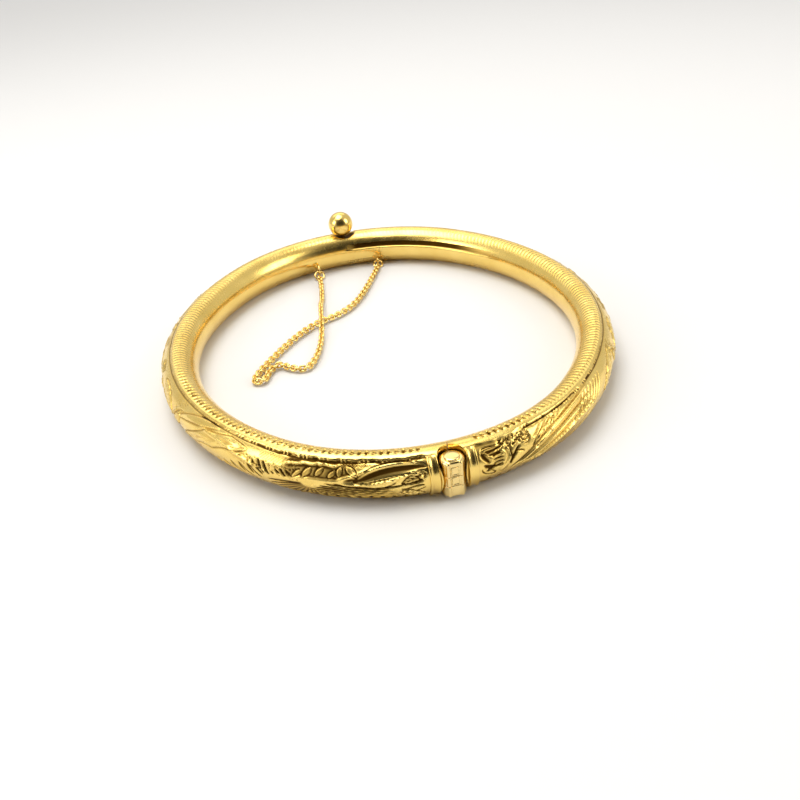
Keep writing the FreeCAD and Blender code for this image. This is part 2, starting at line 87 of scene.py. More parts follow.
def centreline(length):
    """Point and outward normal of the right half, `length` along the oval from the hinge line."""
    length = np.asarray(length, float)
    first = length < END_ARC
    last = length > END_ARC + SIDE_ARC
    turn = np.where(first, length / END_R - math.pi / 2, (length - END_ARC) / SIDE_R - math.pi / 4)
    turn = np.where(last, (length - END_ARC - SIDE_ARC) / END_R + math.pi / 4, turn)
    radius = np.where(first | last, END_R, SIDE_R)
    centre_x = np.where(first | last, 0.0, -OFFSET)
    centre_y = np.where(first, -OFFSET, np.where(last, OFFSET, 0.0))
    normal = np.stack([np.cos(turn), np.sin(turn)], -1)
    return np.stack([centre_x, centre_y], -1) + radius[..., None] * normal, normal


def tube_points(length, angle, raised, shrink, side):
    """Points on the tube at `length` and section `angle` in degrees, pushed out by `raised`."""
    point, normal = centreline(length)
    turn = np.radians(angle)
    wide, high = WIDE - shrink, HIGH - shrink
    out_u, out_z = np.cos(turn) / wide, np.sin(turn) / high
    size = np.hypot(out_u, out_z)
    across = wide * np.cos(turn) + raised * out_u / size
    up = high * np.sin(turn) + raised * out_z / size
    x = (point[..., 0] + across * normal[..., 0]) * side
    y = point[..., 1] + across * normal[..., 1]
    z = np.broadcast_to(np.maximum(up + HIGH, 0.0), x.shape)
    return np.stack([x, y, z], -1)


# distance round the section against angle, every tenth of a degree
ANGLES = np.linspace(-200, 200, 4001)
STEPS = np.hypot(WIDE * np.sin(np.radians(ANGLES)), HIGH * np.cos(np.radians(ANGLES)))
GIRTHS = np.cumsum(STEPS) * np.radians(0.1)
GIRTHS -= np.interp(0, ANGLES, GIRTHS)


def girth(angle):
    """Distance round the section from its outermost line, for an angle in degrees."""
    return np.interp(angle, ANGLES, GIRTHS)


def smooth(low, high, value):
    """Soft step from 0 at `low` to 1 at `high`; it falls where `high` is the smaller."""
    share = np.clip((value - low) / (high - low), 0, 1)
    return share * share * (3 - 2 * share)


# ---------------------------------------------------------------- mesh helpers

def mesh_object(name, points_mm, faces):
    """A smooth-shaded mesh object from points in millimetres."""
    mesh = bpy.data.meshes.new(name)
    mesh.from_pydata((np.asarray(points_mm, float) * MM).tolist(), [], faces)
    mesh.update()
    mesh.polygons.foreach_set("use_smooth", [True] * len(mesh.polygons))
    made = bpy.data.objects.new(name, mesh)
    scene.collection.objects.link(made)
    return made


def mend_normals(made):
    work = bmesh.new()
    work.from_mesh(made.data)
    bmesh.ops.recalc_face_normals(work, faces=work.faces)
    work.to_mesh(made.data)
    work.free()
    return made


def sharp_edges(made, degrees):
    made.data.set_sharp_from_angle(angle=math.radians(degrees))
    return made


def add_values(made, name, values):
    attribute = made.data.attributes.new(name, "FLOAT", "POINT")
    attribute.data.foreach_set("value", np.asarray(values, np.float32).ravel())


def dress(made, material, slot, body, *nodes):
    """Material and body of a new piece, and the CAD nodes that it stands for; the slot argument is not used.
    """
    made.data.materials.append(material)
    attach(made, body)
    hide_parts(*nodes)


def grid_faces(rows, columns, start=0, round_rows=False, round_columns=False):
    """Quads between the points of a grid that is stored row after row."""
    faces = []
    for row in range(rows if round_rows else rows - 1):
        below, above = row * columns, (row + 1) % rows * columns
        for column in range(columns if round_columns else columns - 1):
            after = (column + 1) % columns
            faces.append((start + below + column, start + below + after,
                          start + above + after, start + above + column))
    return faces


# ---------------------------------------------------------------- chasing

class Relief:
    """Chased relief on the unrolled shell: `along` from the hinge, `around` from the outer line.

    Heights are zero or less: the CAD tube is the level of the crests, and the ground lies below it.
    """

    def __init__(self, along, around):
        self.along, self.around = along, around
        self.height = np.zeros_like(along)

    def near(self, line, reach):
        """Points within reach of a line, with their distance, side and place along it."""
        line = np.asarray(line, float)
        low, high = line.min(0) - reach, line.max(0) + reach
        inside = ((self.along > low[0]) & (self.along < high[0])
                  & (self.around > low[1]) & (self.around < high[1]))
        point = np.stack([self.along[inside], self.around[inside]], -1)
        start, run = line[:-1], np.diff(line, axis=0)
        size = np.maximum((run ** 2).sum(1), 1e-9)
        gap = point[:, None] - start[None]
        share = np.clip((gap * run[None]).sum(2) / size, 0, 1)
        off = gap - share[..., None] * run[None]
        far = (off ** 2).sum(2)
        best = far.argmin(1)
        pick = np.arange(len(point))
        side = np.sign(run[best, 0] * gap[pick, best, 1] - run[best, 1] * gap[pick, best, 0])
        place = (best + share[pick, best]) / len(run)
        return inside, np.sqrt(far[pick, best]), side, place

    def add(self, inside, change):
        self.height[inside] += change

    def cut(self, points, width, depth):
        """A graver's cut that swells in the middle."""
        line = bent(points)
        inside, away, _, place = self.near(line, 3 * width)
        swell = np.sqrt(np.clip(4 * place * (1 - place), 0, 1))
        self.add(inside, -1.2 * depth * swell * np.exp(-(away / (width * (0.45 + 0.55 * swell))) ** 2))

    def rib(self, points, width, height):
        """A raised stem or rim."""
        line = bent(points)
        inside, away, _, place = self.near(line, 3 * width)
        ends = smooth(0, 0.12, place) * smooth(0, 0.12, 1 - place)
        self.add(inside, 1.3 * height * ends * np.exp(-(away / width) ** 2))

    def leaf(self, points, half, lift, dish, veins=0, lobes=0):
        """A leaf on a bent spine: domed or dished, with a rim cut, side veins and a lobed edge."""
        line = bent(points)
        inside, away, side, place = self.near(line, half * 1.4 + 0.25)
        wide = half * np.sin(np.pi * np.clip(place, 0, 1) ** 0.8) ** 0.75 + 1e-3
        if lobes:
            wide = wide * (1 - 0.24 * np.abs(np.sin(lobes * np.pi * (place + 0.12 * side))))
        share = away / wide
        body = np.sqrt(np.clip(1 - share ** 2, 0, 1))
        rise = 1.35 * lift * np.minimum(body * 1.2, 1)
        rise = rise - dish * np.clip(1 - share ** 2, 0, 1) * smooth(0, 0.2, 1 - share)
        if veins:
            wave = np.sin(2 * np.pi * (veins * place - share))
            rise = rise - 0.075 * (0.5 + 0.5 * wave) * smooth(1.0, 0.75, share) * smooth(0, 0.15, share)
            rise = rise - 0.06 * np.exp(-(away / 0.09) ** 2) * (share < 1)
        rise = np.where(share < 1, rise, 0)
        rim = np.exp(-((away - wide) / 0.085) ** 2) * smooth(0, 0.1, place) * smooth(0, 0.06, 1 - place)
        self.add(inside, rise - 0.13 * rim)

    def curl(self, centre, size, turn, hand, width, height, turns):
        """A spiral scroll with a bead at its eye."""
        sweep = np.linspace(0, 1, 26)
        radius = size * (1 - 0.86 * sweep)
        angle = np.radians(turn) + hand * sweep * turns * 2 * np.pi
        line = np.stack([centre[0] + radius * np.cos(angle), centre[1] + radius * np.sin(angle)], -1)
        inside, away, _, place = self.near(line, 3.2 * width)
        self.add(inside, height * np.exp(-(away / width) ** 2))
        self.add(inside, -0.1 * np.exp(-((away - 2.0 * width) / (0.7 * width)) ** 2)
                 * smooth(0, 0.15, place))
        self.dot(centre, 0.16 * size + 0.08, 0.07)

    def dot(self, centre, radius, height):
        """A round bead, or a punched dot where the height is negative."""
        inside = np.hypot(self.along - centre[0], self.around - centre[1]) < 2.5 * radius
        away = np.hypot(self.along[inside] - centre[0], self.around[inside] - centre[1])
        self.add(inside, height * np.exp(-(away / radius) ** 4))

    def hatch(self, low, high, pitch, slope, depth, cross=False):
        """Fine parallel cuts over a patch with soft edges."""
        inside = ((self.along > low[0]) & (self.along < high[0])
                  & (self.around > low[1]) & (self.around < high[1]))
        x, y = self.along[inside], self.around[inside]
        edge = (smooth(0, 0.3, x - low[0]) * smooth(0, 0.3, high[0] - x)
                * smooth(0, 0.2, y - low[1]) * smooth(0, 0.2, high[1] - y))
        lines = np.clip(np.cos(2 * np.pi * (x + slope * y) / pitch), 0, 1) ** 2
        if cross:
            lines = np.maximum(lines, np.clip(np.cos(2 * np.pi * (x - slope * y) / pitch), 0, 1) ** 2)
        self.add(inside, -depth * lines * edge)

    def stipple(self, low, high, count, depth, radius):
        """Punched dots over a patch of ground."""
        for x, y in random.uniform(low, high, (count, 2)):
            self.dot((x, y), radius, -depth)


random = np.random.default_rng(416)


def bent(points, count=18):
    """A smooth line that starts and ends on the outer points and leans towards the others."""
    points = np.asarray(points, float)
    share = np.linspace(0, 1, count)[:, None]
    order = len(points) - 1
    line = 0
    for index, point in enumerate(points):
        weight = math.comb(order, index) * share ** index * (1 - share) ** (order - index)
        line = line + weight * point
    return line


# edge of the leafy field, depth of its ground, line and pitch of the ticks, pitch of the crescents
FIELD = girth(66.5)
GROUND = 0.14
TICK_LINE = girth(92.0)
TICK_PITCH = 0.78
CRESCENT_PITCH = 0.66


def borders(relief, side):
    """Ground, plain bands, border grooves and the rows of punched ticks, above and below."""
    along, around = relief.along, relief.around
    wander = 0.05 * np.sin(along * 0.9) + 0.04 * np.sin(along * 2.3 + 1) + 0.03 * np.sin(along * 5.1)
    line = FIELD + wander * smooth(22, 14, along) + 0.32 * smooth(14, 30, along)
    for sign in (1, -1):
        away = sign * around - line
        inner = smooth(0.05, -0.25, away)
        relief.height -= GROUND * inner * (sign * around > 0)
        strong = 0.21 * smooth(2.3, 3.2, along) * (0.38 + 0.62 * smooth(27, 17, along))
        if side > 0:
            strong = 0.14 * smooth(6.5, 9.0, along) * (0.5 + 0.5 * smooth(30, 18, along))
        rough = 1 + 0.35 * np.sin(along * 7.7 + 3 * np.sin(along * 2.9))
        relief.height -= strong * rough * np.exp(-(away / 0.12) ** 2)
        relief.height -= 0.4 * strong * np.exp(-((away + 0.22) / 0.07) ** 2)
        ticks(relief, sign, side)


def ticks(relief, sign, side):
    """Punched notches with flute tails beside the hinge, turning into long crescents further on."""
    along, around = relief.along, sign * relief.around
    phase = along / TICK_PITCH
    tooth = smooth(0.1, 0.7, np.cos(2 * np.pi * phase))
    band = np.exp(-((around - TICK_LINE - 0.08) / 0.34) ** 4)
    near = smooth(46, 36, along) if side < 0 else smooth(14, 9, along)
    uneven = 1 + 0.3 * np.sin(np.round(phase) * 2.4)
    relief.height -= 0.24 * uneven * tooth * band * near * smooth(2.7, 3.3, along)
    tail = smooth(TICK_LINE + 0.1, TICK_LINE + 0.35, around) * smooth(girth(132), girth(105), around)
    relief.height -= 0.03 * tooth * tail * near * smooth(2.0, 3.0, along)
    bow = 0.22 * (around - TICK_LINE) ** 2 - 0.25 * around
    slanted = np.clip(np.cos(2 * np.pi * (along + bow) / CRESCENT_PITCH), 0, 1)
    crescent = smooth(girth(79), girth(86), around) * smooth(girth(138), girth(118), around)
    fading = smooth(80, 55, along)
    start = (1 - near) * smooth(4.0, 8.0, along)
    relief.height -= (0.045 + 0.03 * fading) * slanted ** 2 * crescent * start * (0.25 + 0.75 * fading)
    if side > 0:
        second = np.exp(-((around - girth(88)) / 0.24) ** 4)
        relief.height -= 0.13 * tooth ** 2 * second * smooth(10, 7, along) * smooth(2.9, 3.4, along)


# In the two functions below, places are (along, around) in millimetres from the hinge line and from
# the outer line of the tube. A cut or rib then has its width and depth or height, and a leaf its half
# width, its rise and how far its middle is dished.


def left_front(relief):
    """Beside the hinge on the left: small leaf, big polished leaf, petals and slanting cuts."""
    relief.leaf([(2.7, 1.25), (3.8, 1.0), (5.2, 0.15)], 0.5, 0.07, 0.10, veins=6)
    relief.rib([(2.9, 1.35), (3.3, 0.9), (2.9, 0.35)], 0.11, 0.09)
    relief.cut([(2.8, 0.55), (3.5, 0.3), (4.5, 0.15)], 0.13, 0.17)
    relief.cut([(3.4, 1.1), (3.6, 0.75), (3.3, 0.4)], 0.09, 0.15)
    relief.leaf([(2.5, 1.95), (5.0, 2.35), (7.2, 2.1), (8.6, 1.0), (9.9, 0.6)], 0.85, 0.08, 0.22)
    relief.rib([(2.5, 2.5), (5.2, 2.85), (7.6, 2.75), (8.9, 1.7), (10.6, 0.9), (11.6, 0.85)], 0.20, 0.11)
    relief.rib([(2.6, 1.6), (4.8, 1.55), (6.8, 0.45), (8.6, 0.35), (11.4, 0.3)], 0.18, 0.11)
    relief.leaf([(5.6, 0.75), (7.2, 0.15), (9.4, 0.15)], 0.42, 0.10, 0.12)
    relief.cut([(4.6, 0.2), (7.4, -0.5), (10.4, 0.0), (11.8, 0.35)], 0.11, 0.20)
    sunk = smooth(9.0, 10.2, relief.along) * smooth(17.4, 16.4, relief.along)
    relief.height -= 0.10 * sunk * smooth(0.6, 1.0, relief.around) * smooth(3.1, 2.8, relief.around)
    petals = ((9.9, 1.85, 0.62, -0.55, 0.40), (11.15, 1.75, 0.66, 0.10, 0.30), (12.0, 1.35, 0.50, 0.40, 0.27),
              (13.3, 1.55, 0.60, 0.42, 0.30), (14.6, 1.35, 0.66, 0.50, 0.34), (15.7, 1.05, 0.52, 0.55, 0.26))
    for place, height, tall, lean, half in petals:
        relief.leaf([(place - lean, height + tall), (place + 0.1, height), (place + lean, height - tall)],
                    half, 0.13, 0.14)
    relief.rib([(10.9, 2.75), (12.2, 1.9), (12.6, 3.1), (13.5, 2.3)], 0.15, 0.13)
    relief.rib([(13.1, 2.9), (14.3, 1.9), (14.6, 2.9), (15.6, 2.2)], 0.14, 0.12)
    relief.rib([(15.0, 2.7), (15.9, 1.8), (16.5, 2.6), (17.4, 1.7)], 0.13, 0.11)
    relief.hatch((8.3, 2.25), (12.0, 3.05), 0.30, 1.0, 0.08, cross=True)
    relief.hatch((15.6, 1.6), (20.5, 2.7), 0.36, 0.8, 0.05)
    for place, long, deep in ((16.5, 0.35, 0.16), (17.2, 0.45, 0.16), (17.8, 0.30, 0.10), (19.3, 0.75, 0.20),
                              (20.0, 0.85, 0.20), (20.8, 0.60, 0.10)):
        relief.cut([(place + 0.4, 0.8 + long), (place + 0.15, 0.7), (place - 0.35, 0.8 - long)], 0.13, deep)
    for step in range(6):
        low = -0.12 - 0.34 * step
        relief.cut([(12.8 + 0.5 * step, 0.40 + low), (9.8 + 0.3 * step, 0.05 + low),
                    (6.0 - 0.3 * step, -0.40 + low)], 0.11, 0.15)
    for step in range(15):
        spread = math.radians(200 + 10.5 * step)
        inner = (14.2 + math.cos(spread), 0.1 + 0.6 * math.sin(spread))
        outer = (14.2 + 5.2 * math.cos(spread), 2.9 * math.sin(spread))
        relief.cut([inner, outer], 0.16, 0.09)
    relief.leaf([(5.4, -0.6), (4.2, -1.4), (2.9, -1.7)], 0.5, 0.10, 0.05, veins=5)
    relief.leaf([(2.8, -0.3), (4.0, -0.5), (5.4, -1.2)], 0.35, 0.10, 0.12)
    relief.stipple((15.5, 0.2), (23.0, 1.6), 110, 0.06, 0.08)
    relief.leaf([(22.0, 2.1), (26.5, 2.2), (30.0, 0.6), (34.5, -1.2)], 1.05, 0.10, 0.02, veins=5, lobes=3)
    relief.rib([(18.5, 0.2), (23.5, 0.9), (28.0, 2.8), (34.5, 1.6)], 0.18, 0.10)
    relief.leaf([(27.0, 2.9), (31.5, 2.6), (36.0, 0.6)], 0.55, 0.09, 0.06)
    for step in range(9):
        x, y = 20.6 + 1.25 * step, 1.0 - 0.34 * step
        relief.cut([(x, y), (x - 0.1, y - 0.7), (x - 0.8, y - 1.3)], 0.15, 0.15)
        relief.cut([(x + 1.0, y - 0.5), (x + 0.4, y - 1.3), (x - 0.5, y - 1.9)], 0.12, 0.11)


def right_front(relief):
    """Beside the hinge on the right: cut leaf, punched ground, forked scroll and long stems."""
    relief.leaf([(2.9, 2.25), (3.7, 1.95), (5.0, 2.35)], 0.34, 0.09, 0.14)
    relief.cut([(2.95, 1.95), (3.2, 1.3), (3.6, 0.7)], 0.20, 0.24)
    relief.cut([(3.3, 2.0), (4.1, 1.85), (5.2, 2.1)], 0.14, 0.22)
    relief.cut([(3.6, 1.55), (4.3, 1.45), (5.1, 1.65)], 0.13, 0.20)
    relief.cut([(3.0, 0.55), (3.5, 0.15), (4.2, 0.1)], 0.15, 0.22)
    relief.cut([(3.2, -0.35), (3.8, -0.1), (4.3, 0.35)], 0.13, 0.20)
    relief.leaf([(2.9, 0.2), (3.3, -0.5), (4.3, -0.9)], 0.32, 0.10, 0.14)
    for turn in range(4):
        y = 1.25 - 0.42 * turn
        relief.cut([(4.0, y), (4.6, y + 0.16), (5.15, y + 0.12)], 0.09, 0.17)
    relief.rib([(4.3, 2.5), (6.6, 2.0), (6.3, 0.2), (4.6, -0.8)], 0.16, 0.10)
    relief.rib([(4.4, 2.0), (5.9, 1.5), (5.7, 0.3), (4.4, -0.5)], 0.12, 0.07)
    relief.stipple((4.9, 1.7), (8.6, 2.85), 130, 0.10, 0.085)
    relief.cut([(5.9, -0.4), (6.2, 0.6), (7.2, 1.5)], 0.14, 0.24)
    relief.cut([(6.2, 0.3), (6.0, 1.0), (6.1, 1.7)], 0.12, 0.20)
    relief.cut([(6.7, 0.9), (7.2, 0.9), (7.6, 0.6)], 0.10, 0.16)
    relief.curl((8.0, 1.9), 0.42, 220, 1, 0.10, 0.10, 1.0)
    for step in range(5):
        x = 9.0 + 0.8 * step
        relief.cut([(x, 1.6 + 0.1 * step), (x + 0.7, 2.0 + 0.08 * step), (x + 1.6, 2.9)], 0.10, 0.10)
    relief.leaf([(8.6, 0.4), (10.6, 1.4), (12.6, 2.6)], 0.55, 0.10, 0.10, veins=4)
    for step in range(3):
        lower, gap = 0.85 * step, 0.75 * step
        relief.cut([(6.0 + gap, -1.0 - 0.1 * step), (9.4 + gap, 0.9 - lower), (12.4 + gap, 2.6 - lower),
                    (19.5, 2.75 - lower)], 0.14, 0.19)
        relief.rib([(6.4 + gap, -1.1 - 0.1 * step), (9.8 + gap, 0.7 - lower), (12.8 + gap, 2.35 - lower),
                    (19.6, 2.5 - lower)], 0.20, 0.11)
    relief.cut([(8.0, 2.95), (10.5, 3.2), (14.0, 3.05), (18.5, 3.35)], 0.10, 0.16)
    relief.leaf([(8.8, -1.6), (12.5, -1.5), (16.0, -0.5), (20.0, 0.3)], 1.1, 0.11, 0.14)
    for step in range(7):
        relief.cut([(15.4 + 0.8 * step, 0.2), (16.2 + 0.8 * step, 1.2), (17.8 + 0.8 * step, 2.5)], 0.12, 0.16)
    relief.leaf([(22.6, -0.6), (25.6, 0.6), (28.6, 2.6)], 1.0, 0.12, 0.08, veins=6, lobes=5)


def scroll_unit(relief, start, flip):
    """One repeat of the running pattern: an S-stem with lobed leaves, a curl, petals and hatching."""
    def at(x, y):
        return start + x, flip * y

    relief.rib([at(0, -2.2), at(2.5, -2.6), at(4.5, 2.9), at(8.0, 2.2), at(10.5, 0.4)], 0.16, 0.09)
    relief.cut([at(0.2, -1.85), at(2.6, -2.1), at(4.4, 3.3), at(8.0, 2.6), at(10.9, 0.6)], 0.09, 0.10)
    relief.leaf([at(1.2, -1.6), at(2.0, 0.6), at(4.6, 1.7)], 0.8, 0.10, 0.02, veins=7, lobes=4)
    relief.leaf([at(3.6, 0.4), at(5.4, -1.9), at(8.8, -2.1)], 0.85, 0.10, 0.02, veins=7, lobes=5)
    relief.leaf([at(5.0, 0.9), at(7.0, 0.7), at(9.2, -0.9)], 0.62, 0.10, 0.10)
    relief.curl(at(10.4, -0.3), 0.85, 70 * flip, -flip, 0.13, 0.09, 1.5)
    for turn in range(5):
        spread = math.radians(25 + 33 * turn)
        x, y = 0.6 * math.cos(spread), 0.6 * math.sin(spread)
        petal = [at(0.3 + x, 1.4 + y), at(0.3 + 1.7 * x, 1.4 + 1.7 * y),
                 at(0.3 + 2.4 * x, 1.4 + 2.3 * y)]
        relief.leaf(petal, 0.27, 0.09, 0.12)
    relief.dot(at(0.3, 1.4), 0.3, 0.08)
    relief.leaf([at(8.4, 2.9), at(10.6, 2.4), at(12.4, 0.9)], 0.6, 0.09, 0.03, veins=6)
    for step in range(5):
        relief.cut([at(10.6 + 0.5 * step, -2.5), at(10.8 + 0.5 * step, -2.1), at(11.4 + 0.5 * step, -1.5)],
                   0.09, 0.10)
    low, high = sorted((flip * 1.9, flip * 3.0))
    relief.hatch((start + 4.6, low), (start + 7.2, high), 0.32, 1.0, 0.045, cross=True)
    low, high = sorted((flip * -2.9, flip * -1.2))
    relief.stipple((start + 0.2, low), (start + 2.4, high), 46, 0.05, 0.085)


def chase(relief, side):
    """The whole pattern of one half."""
    borders(relief, side)
    if side < 0:
        left_front(relief)
        starts = (34.0, 46.0, 58.0, 69.5, 80.5)
    else:
        right_front(relief)
        starts = (27.5, 40.0, 52.5, 65.0, 77.5)
    for turn, start in enumerate(starts):
        scroll_unit(relief, start, 1 if turn % 2 else -1)
    for turn in range(70):
        place = 3.6 + 1.15 * turn
        relief.cut([(place, -1.7), (place + 0.35, -2.2), (place - 0.1, -2.95)], 0.20, 0.15)


CHANNEL_DEPTH = 0.27
SEAM_SLACK = 0.12


def lining(side):
    """Smooth inner strip, flush with the shell; the left one ends in the narrower lip of the clasp."""
    columns = 340
    share = np.linspace(0, 1, columns)
    angle = np.linspace(-1, 1, 41)
    end_x = -LIP_END if side < 0 else LIP_END + LIP_SLACK
    reach = END_R - WIDE
    start = END_R * math.asin(HINGE_GAP / reach)
    end = HALF_LENGTH - END_R * math.asin(end_x / reach)
    along = start + (end - start) * share
    joint = HALF_LENGTH + END_R * math.asin(SHELL_JOINT / reach)
    spread = np.where((side < 0) & (along > joint), 180 - LIP_SEAM, 180 - SEAM - SEAM_SLACK)
    turn = 180 + angle[:, None] * spread[None]
    # beside the clasp the upper edge is pressed in, which leaves a channel along the shell; its darkness is
    # painted shadow
    to_clasp = HALF_LENGTH - along[None]
    reach_in = smooth(31, 19, to_clasp) if side > 0 else smooth(0.0, -2.5, to_clasp)
    channel = smooth(171, 165, turn) * reach_in
    outer = tube_points(along[None], turn, -CHANNEL_DEPTH * channel, 0.0, side)
    inner = tube_points(along[None], turn, 0.0, WALL, side)
    rows = len(angle)
    faces = grid_faces(rows, columns) + grid_faces(rows, columns, rows * columns)
    first = rows * columns
    for row in range(rows - 1):
        for column in (0, columns - 1):
            low, high = row * columns + column, (row + 1) * columns + column
            faces.append((low, high, first + high, first + low))
    for column in range(columns - 1):
        for row in (0, rows - 1):
            low = row * columns + column
            faces.append((low, low + 1, first + low + 1, first + low))
    points = np.concatenate([outer.reshape(-1, 3), inner.reshape(-1, 3)])
    name = "left_lining_strip" if side < 0 else "right_lining_strip"
    made = sharp_edges(mend_normals(mesh_object(name, points, faces)), 40)
    # painted shadow: the pressed-in channel is darkened through the cavity attribute
    add_values(made, "cavity", np.concatenate([channel.ravel(), np.zeros(rows * columns)]))
    return made


def ball_room(surface, outward):
    """How far the surface is pressed in to clear the thumb ball, from rest to fully pressed."""
    depth = np.zeros(surface.shape[:-1])
    for tilt in np.radians(np.linspace(0, PRESS_ANGLE, 4)):
        arm_x, arm_z = BALL_REST[0] - PRESS_X, BALL_REST[2] - PRESS_Z
        centre = np.array([PRESS_X + arm_x * np.cos(tilt) + arm_z * np.sin(tilt), BALL_REST[1],
                           PRESS_Z - arm_x * np.sin(tilt) + arm_z * np.cos(tilt)])
        gap = centre - surface
        towards = (gap * outward).sum(-1)
        inside = (BALL_RADIUS + BALL_SLACK) ** 2 - (gap ** 2).sum(-1)
        depth = np.maximum(depth, np.sqrt(np.maximum(inside, 0) + towards ** 2) - np.abs(towards))
    return depth


# the shells' mesh is fine up to FINE_GIRTH from the outer line and over the first FINE_SHARE of their
# length; chasing is cut no deeper than DEEPEST
FINE_GIRTH, FINE_SHARE = 4.75, 0.4
DEEPEST = 0.33


def shell(side):
    """One half's outer shell as a closed mesh: chased outside, plain inside."""
    name = "left_shell_chased" if side < 0 else "right_shell_chased"
    around = np.concatenate([np.linspace(-girth(SEAM), -FINE_GIRTH, 9)[:-1],
                             FINE_GIRTH * np.linspace(-1, 1, 99),
                             np.linspace(FINE_GIRTH, girth(SEAM), 15)[1:]])
    angle = np.interp(around, GIRTHS, ANGLES)
    outwards = WIDE * np.cos(np.radians(angle))
    reach = END_R + outwards
    # the rows start at the gap between the halves, or at the notch round the barrel
    start_x = np.full(len(outwards), HINGE_GAP)
    for _ in range(4):
        y = -OFFSET - np.sqrt(reach ** 2 - start_x ** 2)
        start_x = np.maximum(HINGE_GAP, np.sqrt(np.maximum(NOTCH_R ** 2 - (y - AXIS_Y) ** 2, 0)))
    if side < 0:
        slot = np.sqrt(np.maximum(STEM_HOLE ** 2 - outwards ** 2, 0)) * (angle > 40) * (angle < 140)
        end_x = np.where(slot > 0, STEM_X - slot, SHELL_JOINT)
        end = HALF_LENGTH + END_R * np.arcsin(end_x / reach)
    else:
        end = HALF_LENGTH - END_R * np.arcsin((SHELL_JOINT + CLASP_GAP) / reach)
    start = END_R * np.arcsin(start_x / reach)
    share = np.concatenate([np.linspace(0, FINE_SHARE, 409)[:-1], np.linspace(FINE_SHARE, 1, 361)])
    along = start[:, None] + (end - start)[:, None] * share[None]
    round_it = np.repeat(around[:, None], len(share), 1)
    relief = Relief(along, round_it)
    chase(relief, side)
    edge = (smooth(0, 0.25, along - start[:, None]) * smooth(0, 0.25, end[:, None] - along)
            * smooth(0, 0.5, girth(SEAM) - np.abs(round_it)))
    height = np.clip(relief.height, -DEEPEST, 0.0) * edge
    flat = tube_points(along, angle[:, None], 0.0, 0.0, side)
    dish = ball_room(flat, tube_points(along, angle[:, None], 1.0, 0.0, side) - flat)
    from_ball = np.linalg.norm(flat - BALL_REST, axis=-1)
    height = height * smooth(2.3, 2.7, from_ball) - dish
    outer = tube_points(along, angle[:, None], height, 0.0, side)
    columns = len(share)
    # the plain inside keeps every eighth column, and all of those beside the clasp
    kept = sorted(set(range(0, columns, 8)) | set(range(columns - 26, columns)))
    inner = tube_points(along[:, kept], angle[:, None], -dish[:, kept], WALL, side)
    rows, few = len(angle), len(kept)
    faces = grid_faces(rows, columns)
    first = rows * columns
    faces += grid_faces(rows, few, first)
    for row in range(rows - 1):
        a, b = row * columns, (row + 1) * columns
        c, d = first + row * few, first + (row + 1) * few
        faces.append((a, b, d, c))
        faces.append((a + columns - 1, b + columns - 1, d + few - 1, c + few - 1))
    for row in (0, rows - 1):
        for place in range(few - 1):
            outer_edge = range(row * columns + kept[place], row * columns + kept[place + 1] + 1)
            faces.append((*outer_edge, first + row * few + place + 1, first + row * few + place))
    points = np.concatenate([outer.reshape(-1, 3), inner.reshape(-1, 3)])
    made = mend_normals(mesh_object(name, points, faces))
    # patina and painted shade: dark where the surface lies below its surroundings or below the ground,
    # standing for the shade in cuts, ticks and ground
    blurred = height
    for _ in range(3):
        padded = np.pad(blurred, 2, mode="edge")
        blurred = sum(padded[2 + i:rows + 2 + i, 2 + j:columns + 2 + j]
                      for i in (-2, 0, 2) for j in (-2, 0, 2)) / 9
    narrow = np.clip((blurred - height) / 0.04, 0, 1)
    low_lying = np.clip((-height - GROUND) / 0.12, 0, 1)
    # the painted shade and patina are made fainter over the far part of the leafy field
    fainter_darkening = smooth(6, 10, along) if side > 0 else smooth(20, 27, along)
    fainter_darkening = fainter_darkening * (np.abs(round_it) < FIELD - 0.1)
    cavity = np.clip(0.75 * narrow + 0.7 * low_lying, 0, 1) * (1 - 0.5 * fainter_darkening)
    add_values(made, "cavity", np.concatenate([cavity.ravel(), np.zeros(rows * few)]))
    return sharp_edges(made, 50)


# ---------------------------------------------------------------- gold

def value_noise(nodes, links, coordinates, scale, detail, rough=0.55):
    noise = nodes.new("ShaderNodeTexNoise")
    noise.inputs["Scale"].default_value = scale
    noise.inputs["Detail"].default_value = detail
    noise.inputs["Roughness"].default_value = rough
    links.new(coordinates, noise.inputs["Vector"])
    return noise.outputs["Fac"]


def ramp(nodes, links, source, stops):
    """Colour ramp with stops of (place, colour)."""
    made = nodes.new("ShaderNodeValToRGB")
    made.color_ramp.elements[0].position, made.color_ramp.elements[0].color = stops[0]
    made.color_ramp.elements[1].position, made.color_ramp.elements[1].color = stops[-1]
    for position, colour in stops[1:-1]:
        made.color_ramp.elements.new(position).color = colour
    links.new(source, made.inputs["Fac"])
    return made.outputs["Color"]


def between(nodes, links, source, low, high):
    """A value from 0 to 1 spread from `low` to `high`."""
    made = nodes.new("ShaderNodeMapRange")
    made.inputs["To Min"].default_value = low
    made.inputs["To Max"].default_value = high
    links.new(source, made.inputs["Value"])
    return made.outputs["Result"]


# what the gold's colour is multiplied by in its hollows, as patina and painted shade, and how much duller
# they are
PATINA_AND_SHADE = (0.085, 0.055, 0.022)
PATINA_DULL = 0.35


